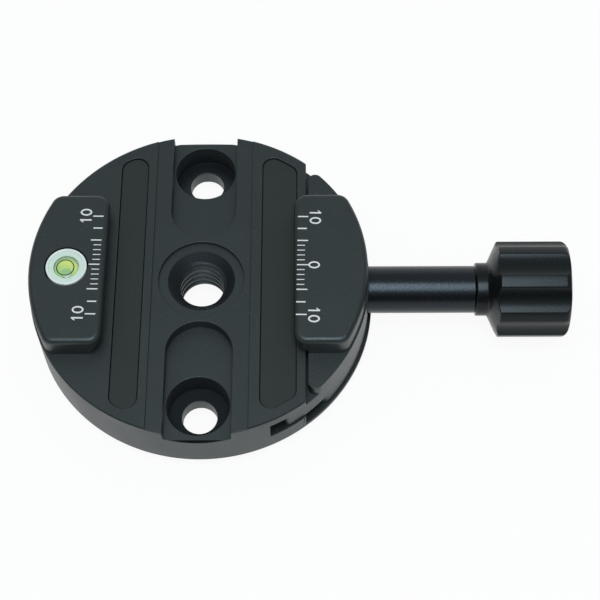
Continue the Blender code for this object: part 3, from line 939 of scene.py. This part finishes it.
class Value:
    """A socket with a number in it, on which Python's sums add Math nodes."""

    def __init__(self, shop, socket):
        self.shop = shop
        self.socket = socket

    def sum(self, operation, *others):
        ends = dict(enumerate((self, *others)))
        return self.shop.node("Math", {"operation": operation}, ends)["Value"]

    def __add__(self, other):
        return self.sum("ADD", other)

    __radd__ = __add__

    def __sub__(self, other):
        return self.sum("SUBTRACT", other)

    def __rsub__(self, other):
        return (self * -1.0) + other

    def __mul__(self, other):
        return self.sum("MULTIPLY", other)

    __rmul__ = __mul__

    def __lt__(self, other):
        return self.sum("LESS_THAN", other)

    def __gt__(self, other):
        return self.sum("GREATER_THAN", other)


class Outputs:
    """A node's output sockets by name."""

    def __init__(self, shop, node):
        self.shop = shop
        self.node = node

    def __getitem__(self, name):
        return Value(self.shop, self.node.outputs[name])


class Shop:
    """Adds nodes to one node tree."""

    def __init__(self, tree):
        self.tree = tree

    def node(self, kind, settings=None, inputs=None):
        """Adds a node; its settings come first, then its sockets' values or links."""
        made = self.tree.nodes.new("ShaderNode" + kind)
        for setting, value in (settings or {}).items():
            setattr(made, setting, value)
        for name, value in (inputs or {}).items():
            socket = made.inputs[name]
            if isinstance(value, Value):
                self.tree.links.new(value.socket, socket)
            elif isinstance(value, tuple) and len(value) < len(socket.default_value):
                socket.default_value = (*value, 1.0)
            else:
                socket.default_value = value
        return Outputs(self, made)

    def range(self, value, low, high, start=0.0, end=1.0, smooth=False):
        """Carries a number from one range to another, and holds it at the ends."""
        inputs = {"Value": value, "From Min": low, "From Max": high, "To Min": start, "To Max": end}
        settings = {"interpolation_type": "SMOOTHSTEP"} if smooth else {}
        return self.node("MapRange", settings, inputs)["Result"]

    def blend(self, share, first, second):
        """Mixes two colours."""
        return self.node("Mix", {"data_type": "RGBA"}, {0: share, 6: first, 7: second})[2]

    def mix(self, share, first, second):
        """Mixes two shaders."""
        return self.node("MixShader", {}, {0: share, 1: first, 2: second})["Shader"]

    def along(self, vector, direction):
        """How far a vector reaches along a direction."""
        return self.node("VectorMath", {"operation": "DOT_PRODUCT"}, {0: vector, 1: direction})["Value"]

    def length(self, vector):
        return self.node("VectorMath", {"operation": "LENGTH"}, {0: vector})["Value"]


class Finish(Shop):
    """One material: its shader, and the nodes that feed it."""

    def __init__(self, name, colour, roughness, **fixed):
        self.material = bpy.data.materials.new(name)
        self.material.use_nodes = True
        super().__init__(self.material.node_tree)
        self.shader = self.tree.nodes["Principled BSDF"]
        self.shader.inputs["Base Color"].default_value = (*colour, 1.0)
        self.shader.inputs["Roughness"].default_value = roughness
        for socket, value in fixed.items():
            self.shader.inputs[socket.replace("_", " ")].default_value = value
        self.place = self.node("TexCoord")["Object"]

    def noise(self, size, detail=2.0, place=None):
        """Noise from 0 to 1 whose lumps are about this size, in metres."""
        inputs = {"Vector": place or self.place, "Scale": 1.0 / size, "Detail": detail}
        return self.node("TexNoise", {}, inputs)["Fac"]

    def stretched(self, scale):
        """Object coordinates scaled unevenly, for grain that runs along an axis."""
        return self.node("Mapping", {}, {"Vector": self.place, "Scale": scale})["Vector"]

    def centred(self, x, y=0.0, z=0.0, scale=(1.0, 1.0, 1.0)):
        """Object coordinates measured from a point."""
        shift = (-x * scale[0], -y * scale[1], -z * scale[2])
        return self.node("Mapping", {}, {"Vector": self.place, "Location": shift, "Scale": scale})["Vector"]

    def feed(self, socket, value):
        self.tree.links.new(value.socket, self.shader.inputs[socket])

    def paint(self, share, first, second):
        """Feeds the base colour with a mix of two."""
        self.feed("Base Color", self.blend(share, first, second))

    def bump(self, height, depth, strength):
        """Feeds the shader's normal with a height from 0 to 1, worth this depth in metres."""
        inputs = {"Height": height, "Distance": depth, "Strength": strength}
        self.feed("Normal", self.node("Bump", {}, inputs)["Normal"])


def black_anodised(name, turned_holes=False):
    """Bead-blasted aluminium, anodised black, with a fine even grain and a few pale specks of dust.

    The body's has turned holes too, with a cutter's arcs in them, and glossier lips at the rim.
    The holes are painted darker, partly for their smoother turned finish and partly as painted shade deep
    inside them."""
    tint = (0.78, 0.94, 0.97, 1.0)
    finish = Finish(name, (0.013, 0.014, 0.013), 0.42, IOR=1.6, Specular_Tint=tint)
    grain = finish.noise(0.12 * MM, 3.0)
    cloud = finish.noise(7.0 * MM, 2.0)
    specks = finish.range(finish.noise(0.35 * MM, 1.0), 0.72, 0.76)
    base = finish.blend(cloud, (0.0110, 0.0125, 0.0115), (0.0145, 0.0160, 0.0150))
    colour = finish.blend(specks * 0.6, base, (0.07, 0.075, 0.065))
    roughness = finish.range(cloud, 0.3, 0.7, 0.39, 0.45)
    height = grain
    if turned_holes:
        share = reach = 0.0
        up = finish.along(finish.place, (0.0, 0.0, 1.0))
        for y, inner, outer, top, rougher in hole_zones:
            distance = finish.length(finish.centred(0.0, y, 0.0, (1.0, 1.0, 0.0)))
            inside = (distance > inner) * (distance < outer) * (up < top)
            share = inside + share
            reach = (distance + up) * inside + reach
            roughness = roughness + inside * rougher
        lines, fine = (
            finish.range((reach * (2 * math.pi / spacing)).sum("SINE"), -1.0, 1.0)
            for spacing in (ring_spacing, fine_spacing)
        )
        # Painted shade: the turned holes are painted darker, partly for their smoother finish and partly as
        # the shade deep inside them
        colour = finish.blend(share, colour, (0.0045, 0.005, 0.0062))
        height = grain * (1.0 - share) + share * (lines * 2.2 + fine * 1.2)
        out = finish.along(finish.place, (0.0, 1.0, 0.0)).sum("ABSOLUTE") - (disc_radius - lip_width)
        slope = Vector((lip_depth, lip_width)).normalized()
        above = out * slope.x + (up - pocket_floor) * slope.y
        lip = (above.sum("ABSOLUTE") < lip_skin) * (out > 0.0)
        colour = finish.blend(lip, colour, (0.004, 0.0045, 0.005))
        roughness = roughness - lip * 0.22
    finish.feed("Base Color", colour)
    finish.feed("Roughness", roughness)
    finish.bump(height, 0.006 * MM, 0.6)
    return finish.material


def satin_anodised():
    """The knob's smoother black anodising."""
    tint = (0.8, 0.95, 1.0, 1.0)
    finish = Finish("anodised_satin", (0.006, 0.007, 0.007), 0.28, IOR=1.33, Specular_Tint=tint)
    grain = finish.noise(0.14 * MM, 3.0)
    specks = finish.range(finish.noise(0.35 * MM, 1.0), 0.72, 0.76)
    base = finish.blend(finish.noise(5.0 * MM), (0.0045, 0.005, 0.005), (0.0065, 0.0075, 0.0075))
    finish.paint(specks * 0.5, base, (0.05, 0.055, 0.05))
    finish.feed("Roughness", finish.range(grain, 0.3, 0.7, 0.23, 0.30))
    finish.bump(grain, 0.005 * MM, 0.5)
    return finish.material


def black_rubber():
    """Moulded rubber, slightly warm, matt, with fine pits and light dust."""
    tint = (0.85, 0.95, 0.95, 1.0)
    finish = Finish("rubber_matt", (0.013, 0.016, 0.013), 0.6, IOR=1.5, Specular_Tint=tint)
    grain = finish.noise(0.16 * MM, 4.0)
    dust = finish.range(finish.noise(0.3 * MM, 1.0), 0.75, 0.80)
    base = finish.blend(finish.noise(6.0 * MM, 3.0), (0.0105, 0.0135, 0.0115), (0.0150, 0.0180, 0.0155))
    finish.paint(dust * 0.5, base, (0.09, 0.095, 0.07))
    finish.feed("Roughness", finish.range(grain, 0.3, 0.7, 0.55, 0.68))
    finish.bump(grain, 0.012 * MM, 0.7)
    return finish.material


def black_plating():
    """The stem's glossy black plating over ground steel, which sparkles a little."""
    tint = (0.72, 0.88, 1.0, 1.0)
    finish = Finish("plated_black", (0.006, 0.006, 0.007), 0.26, IOR=1.43, Specular_Tint=tint)
    grain = finish.noise(0.16 * MM, 3.0)
    finish.paint(grain, (0.003, 0.003, 0.004), (0.008, 0.008, 0.010))
    finish.feed("Roughness", finish.range(grain, 0.35, 0.65, 0.20, 0.32))
    finish.bump(finish.noise(0.22 * MM, 3.0), 0.025 * MM, 1.0)
    return finish.material


def white_paint():
    """The paint in the scale's marks, a little worn."""
    finish = Finish("scale_paint", (0.8, 0.81, 0.8), 0.6)
    finish.paint(finish.noise(0.2 * MM, 3.0), (0.66, 0.67, 0.66), (0.86, 0.87, 0.86))
    return finish.material


def bright_steel():
    """Ground steel with fine lines round its length."""
    finish = Finish("bright_steel", (0.56, 0.56, 0.57), 0.24, Metallic=1.0)
    lines = finish.noise(0.3 * MM, 3.0, finish.stretched((8.0, 1.0, 1.0)))
    finish.paint(lines, (0.50, 0.50, 0.51), (0.62, 0.62, 0.62))
    finish.feed("Roughness", finish.range(lines, 0.3, 0.7, 0.19, 0.34))
    finish.bump(lines, 0.004 * MM, 0.5)
    return finish.material


def turned_brass():
    finish = Finish("turned_brass", (0.78, 0.57, 0.25), 0.28, Metallic=1.0)
    lines = finish.noise(0.2 * MM, 3.0, finish.stretched((10.0, 1.0, 1.0)))
    finish.paint(lines, (0.70, 0.50, 0.22), (0.83, 0.62, 0.29))
    finish.feed("Roughness", finish.range(lines, 0.3, 0.7, 0.22, 0.36))
    return finish.material


def mint_acrylic():
    """Milky green moulding whose polished rim is painted nearly white, a painted reflection of its shine."""
    finish = Finish("mint_acrylic", (0.5, 0.64, 0.55), 0.2, IOR=1.49)
    radius = finish.length(finish.centred(level_x, level_y, 0.0, (1.0, 1.0, 0.0)))
    inner = level_radius - level_rim
    # Painted reflection: the polished rim is painted nearly white
    rim = finish.range(radius, inner - 0.1 * MM, inner + 0.05 * MM)
    dish = finish.blend(finish.noise(0.9 * MM), (0.59, 0.73, 0.61), (0.72, 0.84, 0.73))
    finish.paint(rim, dish, (0.78, 0.84, 0.80))
    return finish.material


def level_liquid():
    """Yellow-green, painted lighter and yellower where the light falls through it, with painted shade near
    the well's back edge.
    """
    finish = Finish("level_liquid", (0.5, 0.6, 0.15), 0.1, IOR=1.4)
    # Painted light: lighter and yellower towards the back and +X, where the light falls through
    lit = finish.along(finish.centred(level_x, level_y), (0.45, 0.9, 0.0))
    bulk = finish.blend(finish.range(lit, -1.6 * MM, 1.2 * MM), (0.38, 0.70, 0.26), (0.84, 0.92, 0.22))
    # Painted shade: darker near the edge of the well, most towards the back
    away = finish.length(finish.centred(level_x, level_y - 0.4 * MM, 0.0, (1.0, 1.0, 0.0)))
    shade = finish.range(away, 1.75 * MM, 2.3 * MM)
    finish.paint(shade, bulk, (0.36, 0.52, 0.30))
    return finish.material


def clear_glass():
    """The lens, which is all but clear, so that it shows by its shine."""
    finish = Finish("level_clear", (0.33, 0.43, 0.31), 0.04, IOR=1.49, Alpha=0.06)
    finish.paint(finish.noise(2.0 * MM), (0.30, 0.40, 0.28), (0.36, 0.46, 0.34))
    return finish.material


def ring_ink():
    """Dull green-black ink, thinner in places."""
    finish = Finish("ring_ink", (0.01, 0.02, 0.01), 0.5, IOR=1.15)
    finish.paint(finish.noise(0.3 * MM), (0.004, 0.012, 0.004), (0.012, 0.03, 0.012))
    return finish.material


def bubble_air():
    """The bubble: a pale patch with a painted highlight at its near end and a painted dark outline there."""
    finish = Finish("bubble_air", (0.6, 0.7, 0.5), 0.08, IOR=1.45, Alpha=0.75)
    place = finish.centred(level_x + bubble_place[0], level_y + bubble_place[1], 0.0, (1.0, 1.0, 0.0))
    # Painted highlight: the near end of the bubble is painted nearly white
    share = finish.range(finish.along(place, (0.25, -1.0, 0.0)), 0.15 * MM, 0.6 * MM)
    highlit_air = finish.blend(share, (0.46, 0.76, 0.36), (0.92, 0.96, 0.88))
    # Painted shade: a dark outline round the near half of the bubble
    outline = finish.range(finish.length(place), 0.8 * MM, 0.95 * MM) * share
    finish.paint(outline, highlit_air, (0.16, 0.22, 0.10))
    return finish.material


# Floor, light and camera

floor_height = -2.6 * MM
floor_size = 4.0
white_share = 0.92


def make_floor():
    """A white sheet just under the knob's lowest flute, which keeps a soft shadow."""
    bpy.ops.mesh.primitive_plane_add(size=floor_size, location=(0.0, 0.0, floor_height))
    floor = added("white_floor")
    material = bpy.data.materials.new("white_sheet")
    material.use_nodes = True
    material.node_tree.nodes.clear()
    shop = Shop(material.node_tree)
    path = shop.node("LightPath")
    paper = shop.node("BsdfDiffuse", {}, {"Color": (0.9, 0.9, 0.9)})["BSDF"]
    glow = shop.node("Emission", {}, {"Color": (1.0, 1.0, 1.0), "Strength": 1.0})["Emission"]
    seen = path["Is Camera Ray"] + path["Is Glossy Ray"] + path["Is Transmission Ray"]
    shop.node("OutputMaterial", {}, {"Surface": shop.mix(seen * white_share, paper, glow)})
    floor.data.materials.append(material)


def make_world():
    """A grey room: lighter behind the clamp, darker to its sides, and dark low on the viewer's side."""
    world = bpy.data.worlds.new("studio")
    bpy.context.scene.world = world
    world.use_nodes = True
    world.node_tree.nodes.clear()
    shop = Shop(world.node_tree)
    sight = shop.node("TexCoord")["Generated"]
    viewer = shop.along(sight, (0.0, -1.0, 0.0))
    dark_start, dark_end = math.cos(math.radians(46.0)), math.cos(math.radians(34.0))
    dark = shop.range(viewer, dark_start, dark_end, smooth=True)
    aside = shop.range(shop.along(sight, (1.0, 0.0, 0.0)).sum("ABSOLUTE"), 0.55, 0.9, smooth=True)
    behind = shop.range(shop.along(sight, (0.0, 1.0, 0.0)), 0.78, 0.95, smooth=True)
    walls = shop.blend(aside, (0.48, 0.52, 0.53), (0.24, 0.26, 0.27))
    room = shop.blend(dark, shop.blend(behind, walls, (0.85, 0.88, 0.88)), (0.07, 0.075, 0.08))
    light = shop.node("Background", {}, {"Color": room, "Strength": 1.0})["Background"]
    shop.node("OutputWorld", {}, {"Surface": light})


def add_softbox(name, place, target, size, power, colour):
    """A rectangular lamp that faces a point."""
    lamp = bpy.data.lights.new(name, "AREA")
    lamp.shape = "RECTANGLE"
    lamp.size, lamp.size_y = size
    lamp.energy = power
    lamp.color = colour
    holder = bpy.data.objects.new(name, lamp)
    bpy.context.scene.collection.objects.link(holder)
    holder.location = place
    holder.rotation_euler = (Vector(target) - Vector(place)).to_track_quat("-Z", "Y").to_euler()


def make_camera():
    """The photograph's viewpoint, as fitted to the scale's marks and the disc's outline."""
    azimuth, elevation, roll = math.radians(1.295), math.radians(61.971), math.radians(-1.341)
    lens_data = bpy.data.cameras.new("camera")
    lens_data.sensor_width = 36.0
    lens_data.lens = 97.64
    lens_data.clip_start = 0.01
    camera = bpy.data.objects.new("camera", lens_data)
    bpy.context.scene.collection.objects.link(camera)
    turn = Matrix.Rotation(azimuth, 4, "Z") @ Matrix.Rotation(math.pi / 2 - elevation, 4, "X")
    place = Vector((20.998, -141.757, 268.477)) * MM
    camera.matrix_world = Matrix.Translation(place) @ turn @ Matrix.Rotation(roll, 4, "Z")
    bpy.context.scene.camera = camera


# Assembly

def finish_with(piece, material):
    piece.data.materials.clear()
    piece.data.materials.append(material)


def fit(piece, material, body, slot, *nodes):
    """Gives a piece its finish, its body and the nodes that it stands for."""
    finish_with(piece, material)
    if body:
        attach(piece, body)
    if nodes:
        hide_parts(*nodes)
    shade(piece)


anodised = black_anodised("anodised_black")
anodised_body = black_anodised("anodised_body", True)
fixed_marks = fixed_scale()
body_piece = make_body(fixed_marks)
moving_marks = moving_scale()
jaw_piece = make_jaw(moving_marks)
paint = white_paint()
rubber = black_rubber()
fit(body_piece, anodised_body, "base", "black_anodised", "clamp_body")
fit(jaw_piece, anodised, "jaw", "black_anodised", "moving_jaw")
fit(fixed_marks, paint, "base", "black_anodised")
fit(moving_marks, paint, "jaw", "black_anodised")
fit(mirror_x(make_strip("strip_left", left_strip)), rubber, "base", "black_rubber", "rubber_strip_left")
fit(make_strip("strip_right", right_strip), rubber, "base", "black_rubber", "rubber_strip_right")
fit(make_cup(), mint_acrylic(), "base", "mint_acrylic", "level_cup")
fit(make_liquid(), level_liquid(), "base", "level_liquid", "level_fluid")
fit(make_lens(), clear_glass(), "base", "clear_acrylic", "level_lens")
fit(make_ring(), ring_ink(), "base", "clear_acrylic")
fit(make_bubble(), bubble_air(), "base", "level_liquid")
fit(make_spindle(), black_plating(), "screw", "blackened_steel", "spindle")
fit(make_knob(), satin_anodised(), "screw", "black_anodised", "knob")
steel = bright_steel()
fit(make_grub(), steel, "screw", "steel", "knob_grub_screw")
for place, side in (("front", -1), ("back", 1)):
    coil = make_spring("coil_" + place, side)
    fit(coil, steel, None, "steel", "return_spring_" + place)
    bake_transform(coil)
    finish_with(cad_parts["guide_pin_" + place], steel)
finish_with(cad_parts["thrust_washer"], turned_brass())

make_floor()
make_world()
add_softbox(
    "key", place=(0.02, -0.17, 0.62), target=(0.02, 0.0, 0.0), size=(0.26, 0.36), power=2.2,
    colour=(0.84, 0.91, 1.0),
)
make_camera()
bpy.context.scene.view_settings.view_transform = "Standard"
